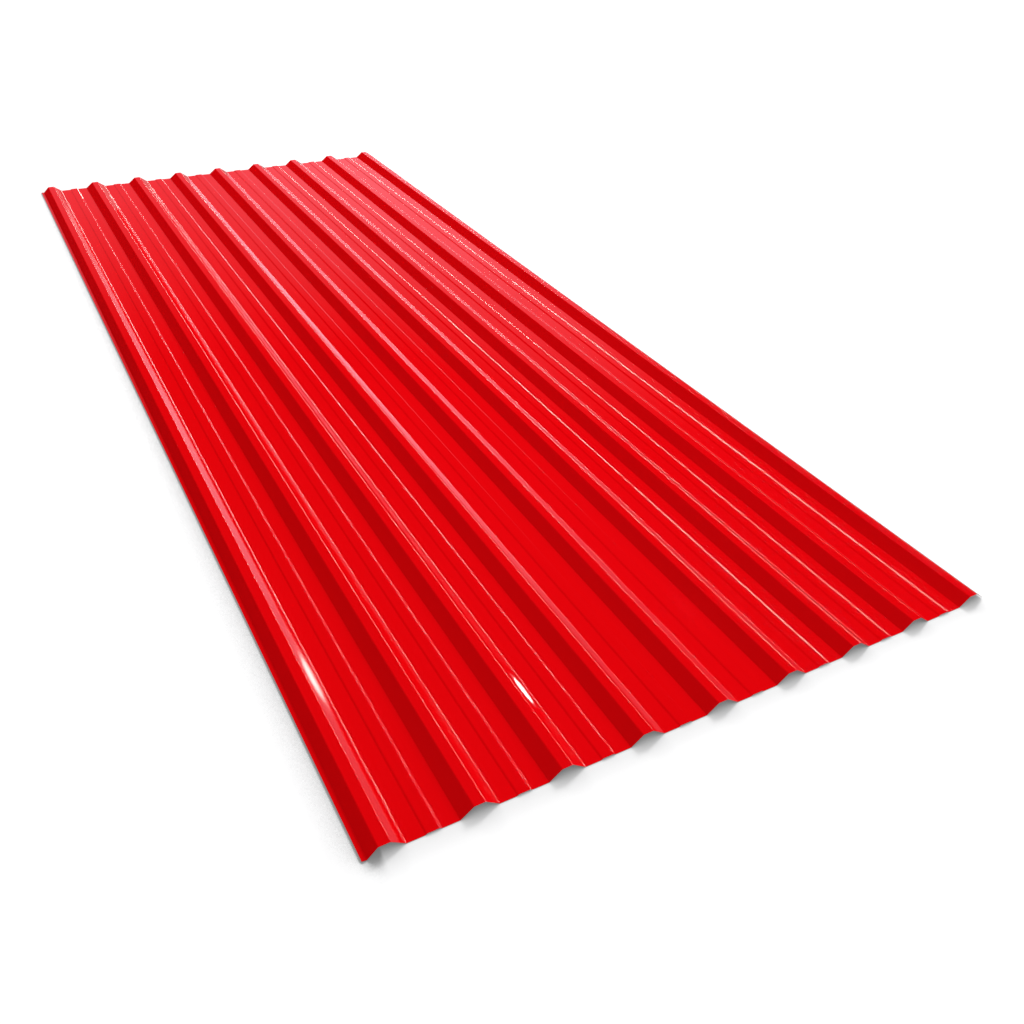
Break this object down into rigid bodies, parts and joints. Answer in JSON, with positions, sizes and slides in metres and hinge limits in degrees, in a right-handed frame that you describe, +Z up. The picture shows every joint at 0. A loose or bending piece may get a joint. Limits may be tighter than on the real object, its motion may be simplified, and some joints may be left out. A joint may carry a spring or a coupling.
{
  "type": "profiled metal sheet",
  "caption": "Painted steel sheet rolled into shallow trapezoidal crests with wide beaded pans between, for roofs, walls and fences; it lies flat on its pans.",
  "frame": {"origin": "bottom centre of the sheet's bounding box, on the floor that it lies on", "axes": "+X across the sheet from the edge with the narrow lip to the web that stops short, +Y along the crests, +Z up out of the weather face"},
  "size_m": [1.1602, 3, 0.0165],
  "materials": {
    "painted_steel": "glossy red coil coating on both faces, with a thin bare edge where it was cut"
  },
  "bodies": {
    "root": {"profiled_sheet": "painted_steel"}
  },
  "joints": []
}
